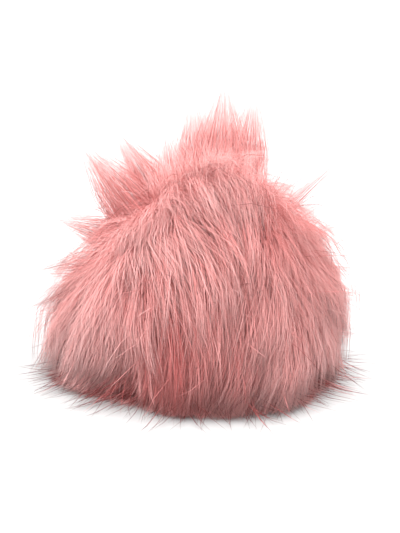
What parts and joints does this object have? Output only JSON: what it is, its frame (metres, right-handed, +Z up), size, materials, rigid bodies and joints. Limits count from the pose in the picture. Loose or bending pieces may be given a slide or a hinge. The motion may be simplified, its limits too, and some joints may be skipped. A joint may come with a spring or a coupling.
{
  "type": "faux-fur pom pom",
  "caption": "Round pink long-pile faux-fur pom pom, settled on its base, with combed locks over its front and tufts standing at its crown.",
  "frame": {"origin": "middle of the small flat spot under the gathered base, on the surface that it rests on", "axes": "+Z up, -Y towards the front, over which the pile falls, +X to the right seen from the front"},
  "size_m": [0.1567, 0.1497, 0.1175],
  "materials": {
    "faux_fur": "long acrylic pile, soft and matt in the mass with a faint sheen along the hairs, deeper rose towards the roots"
  },
  "bodies": {
    "root": {"pom_pom": "faux_fur"}
  },
  "joints": []
}
